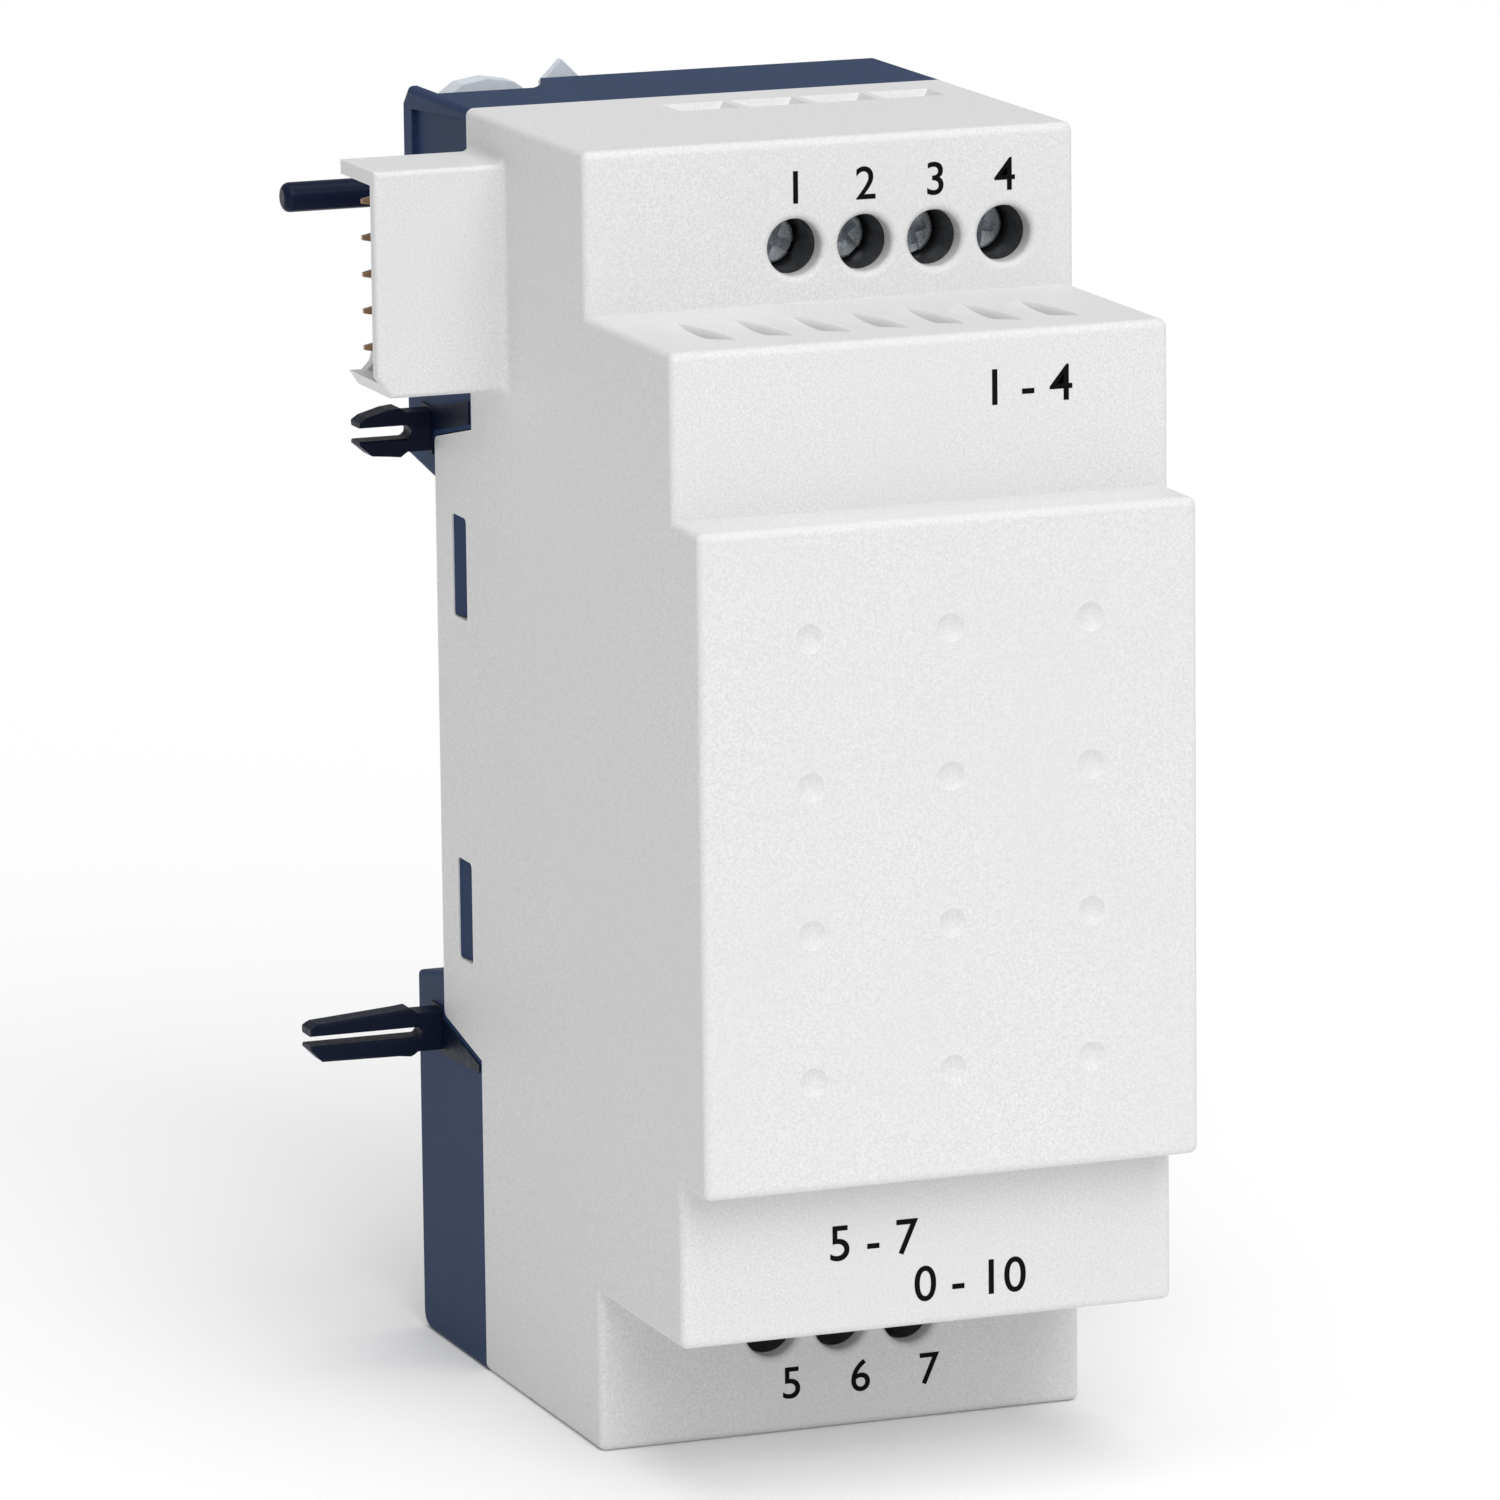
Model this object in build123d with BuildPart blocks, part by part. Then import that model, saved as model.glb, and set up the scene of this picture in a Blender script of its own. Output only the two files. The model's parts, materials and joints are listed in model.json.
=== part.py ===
"""Analogue extension module for a 35 mm mounting rail, modelled as its separate pieces.

Millimetres. +Z is up along the module, -Y is the front, and -X is the side with the bus connector.
The origin is at the centre of the rail seat, the flat pad in the back that rests on the rail.
"""

import os

from build123d import *

os.makedirs("parts", exist_ok=True)

# ---------------------------------------------------------------- driving dimensions
# overall casing
half_width = 17.75
half_height = 45.0
back_y = 6.0
seam_y = -8.0
wall = 1.6
side_round = 0.55
corner_round = 0.6
step_round = 0.6
fit_gap = 0.1

# stepped front, symmetric above and below the middle
terminal_y = -32.0
middle_y = -48.6
front_y = -53.5
window_half = 22.5
middle_half = 33.8
shelf_wall = 2.4

# rail channel in the back
channel_half = 17.6
flank_top = 18.6
flank_bottom = 18.8
seat_relief = 0.4
seat_size = (28.0, 30.4)
rail_flange = 1.3
hook_reach = 15.9
hook_depth = 2.0

# side tongues of the housing and their latch windows
tongue_half_front = 22.5
tongue_half_back = 20.8
latch_centres = (12.3, -12.3)
latch_size = (3.0, 7.3)
latch_y = -5.0

# terminals
input_x = (-2.54, 2.54, 7.62, 12.70)
output_x = (-5.08, 0.0, 5.08)
screw_z = 37.6
screw_hole_radius = 1.95
screw_rim_round = 0.5
entry_y = -13.8
entry_size = (4.45, 3.6)
entry_taper = 41.0
entry_funnel_depth = 0.8
entry_throat = (3.0, 2.2)
block_front_y = -30.2
block_back_y = -10.5
block_low_z = 33.0
block_high_z = 43.2
block_end_margin = 3.1

# terminal screw, an M2.5 with a combination head
head_radius = 1.75
head_front_y = -27.0
head_height = 1.5
shank_radius = 1.25
recess_width = 0.8
cross_width = 2.5
cross_depth = 1.1
shank_end_y = -16.3

# clamping cage, drawn open
cage_size = (3.7, 5.9, 5.0)
cage_front_y = -17.4
cage_channel_y = -20.2
cage_front_wall = 1.2
cage_back_wall = 1.0
cage_side_wall = 0.5
thread_gap = 0.05
channel_gap = 0.1

# contact bars under the clamped wire
bar_width = 2.2
bar_thickness = 0.8
bar_front_y = -16.0
bar_low_z = 31.6
bar_high_z = 40.0
tail_width = 1.0
tail_end_y = -8.2

# boards
board_front_y = -10.4
board_thickness = 1.6
main_board_size = (31.2, 84.0)
signal_board_y = -30.0
signal_board_size = (30.0, 60.0)

# bus connector on the left side
shroud_end_x = -27.1
shroud_y = (-15.8, -8.5)
shroud_z = (26.4, 42.1)
shroud_wall = 1.0
bus_pitch = 2.54
bus_count = 5
bus_y = -12.0
bus_z = 34.55
bus_pin = 0.8
bus_tail = 0.64
bus_tip_x = -26.8
bus_point_length = 1.4
bus_tail_x = -12.6
connector_x = (-18.35, -11.4)
connector_y = (-14.2, -10.5)
connector_z = (28.2, 40.9)

# guide pin and link clips on the left side
guide_radius = 1.05
guide_end_x = -29.3
guide_y = -2.0
guide_z = 38.7
link_height = 3.3
link_thickness = 2.0
link_y = 1.2
upper_link_z = 21.2
lower_link_z = -22.0
upper_link_tip_x = -23.2
lower_link_tip_x = -27.7
upper_link_slot = 0.95
lower_link_slot = 0.7
link_slot_end_x = -19.35
link_barb_x = -20.2
link_foot_depth = 1.2

# fixing lugs, drawn pushed in
lug_x = -12.5
lug_width = 7.0
lug_y = (2.4, 4.6)
lug_top_z = 44.2
lug_corners = ((3.5, 42.75), (1.9, 43.9))
lug_hole_radius = 2.1
lug_hole_z = 40.2
lug_arm_z = (21.0, 24.5)
upper_lug_lift = 1.3
finger_x = (-7.6, -4.6)
finger_y = (5.0, 5.8)
finger_tip_z = 44.9
finger_shoulder_z = 43.4
lug_gap = 0.25
lug_lip = 0.9
lug_slot = (9.0, 2.0)
lug_slot_z = 30.0
lip_start_z = 34.8
notch_left_x = -17.0
notch_y = 0.2
notch_curve = ((-9.9, 0.2), (-9.1, 1.3), (-7.8, 4.5))

# sprung rail clip and its spring
clip_x = -5.0
clip_width = 14.0
clip_y = (1.2, 4.0)
clip_end_z = -44.6
clip_top_z = -17.9
clip_window = (4.8, 13.5)
clip_window_top_z = -28.0
clip_gap = 0.25
clip_lip = 1.5
clip_lip_z = (-40.0, -24.0)
clip_rib_z = (-43.6, -42.6)
spring_stop_z = -39.0
spring_radius = 1.1
spring_wire = 0.4
spring_turns = 7


# ---------------------------------------------------------------- helpers
def finish(part, name):
    """Names a finished piece and writes it as its own file."""
    part.label = name
    export_step(part, f"parts/{name}.step")


def box_between(low, high, mode=Mode.ADD):
    """A box given by two opposite corners."""
    size = [high[i] - low[i] for i in range(3)]
    middle = [(high[i] + low[i]) / 2 for i in range(3)]
    with Locations(tuple(middle)):
        return Box(*size, mode=mode)


def corners_at(vertices, points):
    """The sketch corners that lie at the given points."""
    return [v for v in vertices if any((Vector(v.X, v.Y) - Vector(*p)).length < 0.01 for p in points)]


def steps(inset, shelf_inset, back):
    """Half of the stepped side outline, from the back to the front, as (y, z) points."""
    return [
        (back, half_height - inset),
        (terminal_y + inset, half_height - inset),
        (terminal_y + inset, middle_half - shelf_inset),
        (middle_y + inset, middle_half - shelf_inset),
        (middle_y + inset, window_half - inset),
        (front_y + inset, window_half - inset),
    ]


def mirrored_outline(points):
    """Points for the upper half, followed by the same for the lower half."""
    return points + [(y, -z) for y, z in reversed(points)]


# ---------------------------------------------------------------- front housing
scoop_pitch = 4.1
scoop_count = 7
scoop_ramp = 2.9
scoop_flank = 0.45
scoop_radius = 17.9
scoop_depth = 0.5
scoop_slant = 9.0
scoop_y = -40.7
dimple_radius = 1.6
dimple_depth = 0.35
dimple_pitch = 10.0

# one vent scoop: two cones lying along X, a long ramp and a short flank that meet at a ridge,
# of which only the part below the shelf is kept
with BuildPart() as scoop:
    for middle_x, left_radius, right_radius, length in (
        (-scoop_ramp / 2, scoop_radius - scoop_depth, scoop_radius, scoop_ramp),
        (scoop_flank / 2, scoop_radius, scoop_radius - scoop_depth, scoop_flank),
    ):
        with Locations(Location((middle_x, 0, scoop_radius - scoop_depth), (0, 90, 0))):
            Cone(left_radius, right_radius, length)
    with Locations((0, 0, -scoop_radius + 0.2)):
        Box(4 * scoop_ramp, 2 * scoop_radius, 2 * scoop_radius, mode=Mode.INTERSECT)
scoop_cut = scoop.part.rotate(Axis.Z, scoop_slant)

# outline of a side tongue, with its latch windows
with BuildSketch() as tongue_outline:
    with BuildLine():
        Polyline(
            (seam_y - wall, tongue_half_front),
            (seam_y, tongue_half_front),
            (0, tongue_half_back),
            (0, -tongue_half_back),
            (seam_y, -tongue_half_front),
            (seam_y - wall, -tongue_half_front),
            close=True,
        )
    tongue = make_face()
    fillet(corners_at(tongue.vertices(), [(0, tongue_half_back), (0, -tongue_half_back)]), step_round)
    with Locations(*[(latch_y, z) for z in latch_centres]):
        RectangleRounded(*latch_size, 0.4, mode=Mode.SUBTRACT)

with BuildPart() as housing:
    outer = steps(0, 0, seam_y)
    with BuildSketch(Plane.YZ):
        with BuildLine():
            Polyline(*mirrored_outline(outer), close=True)
        outline = make_face()
        fillet(corners_at(outline.vertices(), mirrored_outline([outer[i] for i in (1, 3, 5)])), corner_round)
        inner_corners = mirrored_outline([outer[i] for i in (2, 4)])
        fillet(corners_at(outline.vertices(), inner_corners), step_round)
    extrude(amount=half_width, both=True)
    sides = housing.faces().sort_by(Axis.X)
    rims = sides[0].edges() + sides[-1].edges()
    fillet(rims.filter_by(lambda edge: edge.center().Y < seam_y - 0.01), side_round)

    # hollow inside
    with BuildSketch(Plane.YZ):
        with BuildLine():
            Polyline(*mirrored_outline(steps(wall, shelf_wall, seam_y + wall)), close=True)
        make_face()
    extrude(amount=half_width - wall, both=True, mode=Mode.SUBTRACT)

    # a tongue on each side reaches back over the base
    for side in (-1, 1):
        with BuildSketch(Plane.YZ.offset(side * half_width)):
            add(tongue_outline.sketch_local)
        extrude(amount=-side * wall)

    # bus connector shroud: front, top and bottom walls, and a low gusset behind
    shroud_low = (shroud_end_x, shroud_y[0], shroud_z[0])
    shroud_root_x = -half_width + 0.2
    box_between(shroud_low, (shroud_root_x, shroud_y[0] + shroud_wall, shroud_z[1]))
    shroud_roof_z = shroud_z[1] - shroud_wall
    box_between((shroud_end_x, shroud_y[0], shroud_roof_z), (shroud_root_x, shroud_y[1], shroud_z[1]))
    box_between(shroud_low, (shroud_root_x, shroud_y[1], shroud_z[0] + shroud_wall))
    with BuildSketch(Plane.XZ.offset(-shroud_y[1])):
        with BuildLine():
            Polyline(
                (shroud_root_x, shroud_z[0]),
                (shroud_end_x + 0.3, shroud_z[0]),
                (shroud_end_x + 1.8, shroud_z[0] + 1.6),
                (shroud_end_x + 3.1, shroud_z[0] + 6.6),
                (shroud_end_x + 7.0, shroud_z[1] - 0.5),
                (shroud_root_x, shroud_z[1]),
                close=True,
            )
        make_face()
    extrude(amount=shroud_wall)
    lower_front_edge = (
        housing.edges()
        .filter_by(Axis.Y)
        .filter_by(lambda edge: abs(edge.center().X - shroud_end_x) < 0.1)
        .sort_by(Axis.Z)[0]
    )
    chamfer(lower_front_edge, length=1.0, length2=1.5)
    front_edges = housing.edges().filter_by(
        lambda edge: edge.center().X < -half_width - 1 and abs(edge.center().Y - shroud_y[0]) < 0.01
    )
    fillet(front_edges, 0.35)
    root_edges = housing.edges().filter_by(Axis.Z).filter_by(
        lambda edge: (Vector(edge.center().X, edge.center().Y) - Vector(-half_width, shroud_y[0])).length < 0.02
    )
    fillet(root_edges, 0.6)

    # window in the side wall for the connector's body
    box_between(
        (-half_width - 1, connector_y[0] - fit_gap, connector_z[0] - fit_gap),
        (-half_width + wall + 1, connector_y[1] + fit_gap, connector_z[1] + fit_gap),
        mode=Mode.SUBTRACT,
    )

    # screwdriver holes with softened rims
    for z, places in ((screw_z, input_x), (-screw_z, output_x)):
        with Locations(*[Location((x, terminal_y, z), (90, 0, 0)) for x in places]):
            Cylinder(screw_hole_radius, 2 * wall + 1, mode=Mode.SUBTRACT)
    hole_rims = housing.edges().filter_by(GeomType.CIRCLE).filter_by(
        lambda edge: abs(edge.center().Y - terminal_y) + abs(edge.radius - screw_hole_radius) < 0.01
    )
    fillet(hole_rims, screw_rim_round)

    # wire funnels in the top and the bottom
    for side, places in ((1, input_x), (-1, output_x)):
        outside = Plane.XY.offset(side * half_height)
        with BuildSketch(outside):
            with Locations(*[(x, entry_y) for x in places]):
                Rectangle(*entry_size)
        extrude(amount=-side * entry_funnel_depth, taper=entry_taper, mode=Mode.SUBTRACT)
        with BuildSketch(outside):
            with Locations(*[(x, entry_y) for x in places]):
                Rectangle(*entry_throat)
        extrude(amount=-side * wall, mode=Mode.SUBTRACT)

    # vent scoops in both shelves
    for i in range(scoop_count):
        x = (i - (scoop_count - 1) / 2) * scoop_pitch
        add(scoop_cut.moved(Location((x, scoop_y, middle_half))), mode=Mode.SUBTRACT)
        add(scoop_cut.mirror(Plane.XY).moved(Location((x, scoop_y, -middle_half))), mode=Mode.SUBTRACT)

    # shallow dimples on the front
    dimple_centre = Plane.XZ.offset(-front_y + dimple_radius - dimple_depth)
    with Locations(dimple_centre):
        with GridLocations(dimple_pitch, dimple_pitch, 3, 4):
            Sphere(dimple_radius, mode=Mode.SUBTRACT)

finish(housing.part, "front_housing")


# ---------------------------------------------------------------- rear base
pocket_y = -0.6
pocket_start_z = 24.2
deep_pocket_x = -2.6
deep_pocket_y = back_y - wall
latch_wall_x = 14.5
tongue_room = wall + fit_gap
back_chamfer = 1.2
back_round = 1.3
panel_depth = 0.4
panel_outline = [(seam_y - 1, 26.0), (3.9, 26.0), (3.9, 43.5), (seam_y - 1, 44.4)]
hook_x = (-9.0, 9.0)
hook_width = 6.0

# outlines of the link clips' feet on the base's left side, as (y, z): a block that carries the prong,
# and a tail along the slanted edge of the tongue beside it
upper_link_foot = [
    (2.5, 19.5), (0.15, 19.5), (0.15, 21.2), (-7.8, 22.85), (-7.8, 24.5), (0.15, 22.9), (2.5, 22.9)
]
lower_link_foot = [
    (2.5, -20.3), (0.15, -20.3), (0.15, -21.2), (-7.8, -22.85), (-7.8, -23.4), (-2.0, -23.7), (2.5, -23.7)
]

with BuildPart() as base:
    with BuildSketch(Plane.YZ):
        base_points = [
            (seam_y, half_height),
            (back_y, half_height),
            (back_y, flank_top),
            (-seat_relief, channel_half),
            (-seat_relief, -channel_half),
            (back_y, -flank_bottom),
            (back_y, -half_height),
            (seam_y, -half_height),
        ]
        with BuildLine():
            Polyline(*base_points, close=True)
        base_face = make_face()
        chamfer(corners_at(base_face.vertices(), [base_points[1]]), back_chamfer)
        fillet(corners_at(base_face.vertices(), [base_points[6]]), back_round)
        fillet(corners_at(base_face.vertices(), [base_points[i] for i in (2, 5)]), 0.5)
    extrude(amount=half_width, both=True)
    base_sides = base.faces().sort_by(Axis.X)
    base_rims = base_sides[0].edges() + base_sides[-1].edges()
    fillet(base_rims.filter_by(lambda edge: edge.center().Y > seam_y + 0.01), 0.5)

    # seat pad that the rail's flanges rest on
    pad_x = seat_size[0] / 2
    pad_z = seat_size[1] / 2
    box_between((-pad_x, -seat_relief, -pad_z), (pad_x, 0, pad_z))

    # room for the housing's tongues at both sides
    for side in (-1, 1):
        with BuildSketch(Plane.YZ.offset(side * half_width)):
            with BuildLine():
                Polyline(
                    (seam_y - 1, tongue_half_front + fit_gap),
                    (seam_y, tongue_half_front + fit_gap),
                    (fit_gap, tongue_half_back + fit_gap),
                    (fit_gap, -tongue_half_back - fit_gap),
                    (seam_y, -tongue_half_front - fit_gap),
                    (seam_y - 1, -tongue_half_front - fit_gap),
                    close=True,
                )
            make_face()
        extrude(amount=-side * tongue_room, mode=Mode.SUBTRACT)

    # pockets open to the front: middle, bottom, top, and a deeper one beside the upper lug
    inner_x = half_width - wall
    inner_z = half_height - wall
    box_between(
        (-latch_wall_x, seam_y, -pocket_start_z),
        (latch_wall_x, -seat_relief - wall, pocket_start_z),
        mode=Mode.SUBTRACT,
    )
    for low_z, high_z in ((pocket_start_z + wall, inner_z), (-inner_z, -pocket_start_z - wall)):
        box_between((-inner_x, seam_y, low_z), (inner_x, pocket_y, high_z), mode=Mode.SUBTRACT)
    deep_low = (deep_pocket_x, seam_y, pocket_start_z + wall)
    box_between(deep_low, (inner_x, deep_pocket_y, inner_z), mode=Mode.SUBTRACT)

    # shallow panel on the left side above the link clip
    with BuildSketch(Plane.YZ.offset(-half_width)):
        with BuildLine():
            Polyline(*panel_outline, close=True)
        make_face()
    extrude(amount=panel_depth, mode=Mode.SUBTRACT)

    # latch hooks that fill the tongue windows
    for side in (-1, 1):
        for z in latch_centres:
            with BuildSketch(Plane.XY.offset(z)):
                with BuildLine():
                    Polyline(
                        (side * (half_width - tongue_room - 0.3), latch_y - latch_size[0] / 2 + fit_gap),
                        (side * (half_width - 0.5), latch_y - latch_size[0] / 2 + fit_gap),
                        (side * (half_width - 0.1), latch_y + latch_size[0] / 2 - fit_gap),
                        (side * (half_width - tongue_room - 0.3), latch_y + latch_size[0] / 2 - fit_gap),
                        close=True,
                    )
                make_face()
            extrude(amount=latch_size[1] / 2 - fit_gap, both=True)

    # fixed rail hooks above the channel
    for x in hook_x:
        with BuildSketch(Plane.YZ.offset(x)):
            with BuildLine():
                Polyline(
                    (rail_flange, channel_half + 0.5),
                    (rail_flange, hook_reach),
                    (rail_flange + 0.6, hook_reach),
                    (rail_flange + hook_depth, channel_half - 0.6),
                    (rail_flange + hook_depth, channel_half + 0.5),
                    close=True,
                )
            make_face()
        extrude(amount=hook_width / 2, both=True)

    # guides of the upper lug, then of the lower one, turned half round the Y axis
    lug_low_x = lug_x - lug_width / 2 - lug_gap
    lug_high_x = lug_x + lug_width / 2 + lug_gap
    finger_low_x = finger_x[0] - lug_gap
    finger_high_x = finger_x[1] + lug_gap
    guide_start_z = lug_arm_z[0] - 0.6
    outside_z = half_height + 1
    for turn in (1, -1):
        guides = [
            ((lug_low_x, lug_y[0] - 0.2, guide_start_z), (lug_high_x, lug_y[1] + 0.2, outside_z)),
            ((lug_low_x, lug_y[0] - 0.2, guide_start_z), (finger_high_x, back_y + 1, lip_start_z)),
            ((lug_low_x + lug_lip, lug_y[1], guide_start_z), (lug_high_x - lug_lip, back_y + 1, outside_z)),
            ((finger_low_x, finger_y[0] - 0.2, lip_start_z - 1), (finger_high_x, back_y + 1, outside_z)),
        ]
        for low, high in guides:
            near = (turn * low[0], low[1], turn * low[2])
            far = (turn * high[0], high[1], turn * high[2])
            lowest = tuple(min(near[i], far[i]) for i in range(3))
            highest = tuple(max(near[i], far[i]) for i in range(3))
            box_between(lowest, highest, mode=Mode.SUBTRACT)
        notch_back_y = back_y + 3
        curve = [(turn * x, y) for x, y in notch_curve]
        with BuildSketch(Plane.XY.offset(turn * half_height)):
            with BuildLine():
                Polyline(
                    curve[2],
                    (curve[2][0], notch_back_y),
                    (turn * notch_left_x, notch_back_y),
                    (turn * notch_left_x, notch_y),
                    curve[0],
                )
                ThreePointArc(*curve)
            make_face()
        extrude(amount=-turn * wall, mode=Mode.SUBTRACT)

    # guide of the rail clip, its two retaining lips and the spring's stop
    clip_low_x = clip_x - clip_width / 2 - clip_gap
    clip_high_x = clip_x + clip_width / 2 + clip_gap
    clip_guide_low = (clip_low_x, clip_y[0] - 0.2, -half_height - 1)
    box_between(clip_guide_low, (clip_high_x, back_y + 1, -channel_half + 0.5), mode=Mode.SUBTRACT)
    for low_x in (clip_low_x, clip_high_x - clip_lip):
        lip_low = (low_x, clip_y[1] + 0.2, clip_lip_z[0])
        box_between(lip_low, (low_x + clip_lip, back_y, clip_lip_z[1]))
    stop_x = clip_window[0] / 2 - 0.2
    stop_low = (clip_x - stop_x, clip_y[0] - 0.2, spring_stop_z - 2)
    box_between(stop_low, (clip_x + stop_x, clip_y[1], spring_stop_z))

    # seats for the feet of the two link clips
    for foot in (upper_link_foot, lower_link_foot):
        with BuildSketch(Plane.YZ.offset(-half_width)):
            with BuildLine():
                Polyline(*foot, close=True)
            make_face()
        extrude(amount=link_foot_depth, mode=Mode.SUBTRACT)

    # guide pin for the neighbouring module
    guide_length = -guide_end_x - half_width
    with Locations(Location((-half_width - guide_length / 2 + 0.5, guide_y, guide_z), (0, 90, 0))):
        Cylinder(guide_radius, guide_length + 1)
    tip_edge = base.edges().filter_by(GeomType.CIRCLE).sort_by(Axis.X)[0]
    fillet(tip_edge, 0.55)

finish(base.part, "rear_base")


# ---------------------------------------------------------------- link clips
def make_link_clip(z, tip_x, slot, foot):
    """A split prong with a barb above and below, on a foot let into the base's side."""
    half = link_height / 2
    neck = half - 0.25
    root_x = -half_width - 0.05
    with BuildPart() as clip:
        with BuildSketch(Plane.XZ.offset(-link_y)):
            with BuildLine():
                Polyline(
                    (root_x, z + neck),
                    (link_barb_x + 0.5, z + neck),
                    (link_barb_x, z + half + 0.1),
                    (link_barb_x - 0.9, z + half),
                    (tip_x + 0.5, z + half - 0.45),
                    (tip_x, z + half - 0.8),
                    (tip_x, z - slot / 2 - 0.3),
                    (tip_x + 0.9, z - half + 0.1),
                    (link_barb_x - 0.9, z - half),
                    (link_barb_x, z - half - 0.1),
                    (link_barb_x + 0.5, z - neck),
                    (root_x, z - neck),
                    close=True,
                )
            make_face()
            with Locations(((tip_x + link_slot_end_x) / 2 - 1, z)):
                SlotOverall(link_slot_end_x - tip_x + 2, slot, mode=Mode.SUBTRACT)
        extrude(amount=link_thickness / 2, both=True)
        prong_edges = clip.faces().filter_by(Axis.Y).edges().filter_by(GeomType.LINE)
        chamfer(prong_edges.filter_by(lambda edge: edge.length > 2.0), 0.15)
        with BuildSketch(Plane.YZ.offset(-half_width - 0.15)):
            with BuildLine():
                Polyline(*foot, close=True)
            make_face()
        extrude(amount=link_foot_depth + 0.1)
    return clip.part


upper_link = make_link_clip(upper_link_z, upper_link_tip_x, upper_link_slot, upper_link_foot)
lower_link = make_link_clip(lower_link_z, lower_link_tip_x, lower_link_slot, lower_link_foot)
finish(upper_link, "upper_link_clip")
finish(lower_link, "lower_link_clip")


# ---------------------------------------------------------------- fixing lugs
with BuildPart() as lug:
    left_x = lug_x - lug_width / 2
    right_x = lug_x + lug_width / 2
    with BuildSketch(Plane.XZ.offset(-lug_y[0])):
        with BuildLine():
            Polyline(
                (left_x, lug_arm_z[0]),
                *[(lug_x - reach, z) for reach, z in lug_corners],
                (lug_x, lug_top_z),
                *[(lug_x + reach, z) for reach, z in reversed(lug_corners)],
                (right_x, lug_arm_z[0]),
                close=True,
            )
        make_face()
        with Locations((lug_x, lug_hole_z)):
            Circle(lug_hole_radius, mode=Mode.SUBTRACT)
        with Locations((lug_x, lug_slot_z)):
            SlotOverall(*lug_slot, rotation=90, mode=Mode.SUBTRACT)
    extrude(amount=-(lug_y[1] - lug_y[0]))
    box_between((left_x, lug_y[0], lug_arm_z[0]), (finger_x[1], finger_y[1], lug_arm_z[1]))
    with BuildSketch(Plane.XZ.offset(-finger_y[0])):
        with BuildLine():
            Polyline(
                (finger_x[0], lug_arm_z[0]),
                (finger_x[1], lug_arm_z[0]),
                (finger_x[1], finger_shoulder_z),
                ((finger_x[0] + finger_x[1]) / 2, finger_tip_z),
                (finger_x[0], finger_shoulder_z),
                close=True,
            )
        make_face()
    extrude(amount=-(finger_y[1] - finger_y[0]))

finish(lug.part.moved(Location((0, 0, upper_lug_lift))), "upper_fixing_lug")
finish(lug.part.moved(Location((0, 0, 0), (0, 180, 0))), "lower_fixing_lug")


# ---------------------------------------------------------------- rail clip and spring
with BuildPart() as rail_clip:
    clip_left = clip_x - clip_width / 2
    clip_right = clip_x + clip_width / 2
    box_between((clip_left, clip_y[0], clip_end_z), (clip_right, clip_y[1], clip_top_z))
    with BuildSketch(Plane.YZ.offset(clip_x)):
        with BuildLine():
            Polyline(
                (rail_flange, clip_top_z - 0.5),
                (rail_flange, -hook_reach),
                (rail_flange + 0.6, -hook_reach),
                (rail_flange + hook_depth, -channel_half + 0.6),
                (rail_flange + hook_depth, clip_top_z - 0.5),
                close=True,
            )
        make_face()
    extrude(amount=clip_width / 2 - 1, both=True)
    window_low_z = clip_window_top_z - clip_window[1]
    box_between(
        (clip_x - clip_window[0] / 2, clip_y[0] - 1, window_low_z),
        (clip_x + clip_window[0] / 2, clip_y[1] + 1, clip_window_top_z),
        mode=Mode.SUBTRACT,
    )
    end_edges = rail_clip.edges().filter_by(Axis.Y).group_by(Axis.Z)[0]
    fillet(end_edges, 1.5)
    # raised thumb ribs near the pull end, clear of the base's lips
    for z in clip_rib_z:
        box_between((clip_x - 4, clip_y[1], z - 0.25), (clip_x + 4, clip_y[1] + 0.6, z + 0.25))

finish(rail_clip.part, "rail_clip")

spring_height = clip_window_top_z - spring_stop_z
coil_height = spring_height - spring_wire
with BuildPart() as spring:
    with BuildLine():
        coil = Helix(coil_height / spring_turns, coil_height, spring_radius)
    with BuildSketch(Plane(origin=coil @ 0, z_dir=coil % 0)):
        Circle(spring_wire / 2)
    sweep()
spring_place = Location((clip_x, sum(clip_y) / 2, spring_stop_z + spring_wire / 2))
finish(spring.part.moved(spring_place), "rail_clip_spring")


# ---------------------------------------------------------------- terminals
cage_back_y = cage_front_y + cage_size[1]
cage_window_x = cage_size[0] / 2 - cage_side_wall


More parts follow.
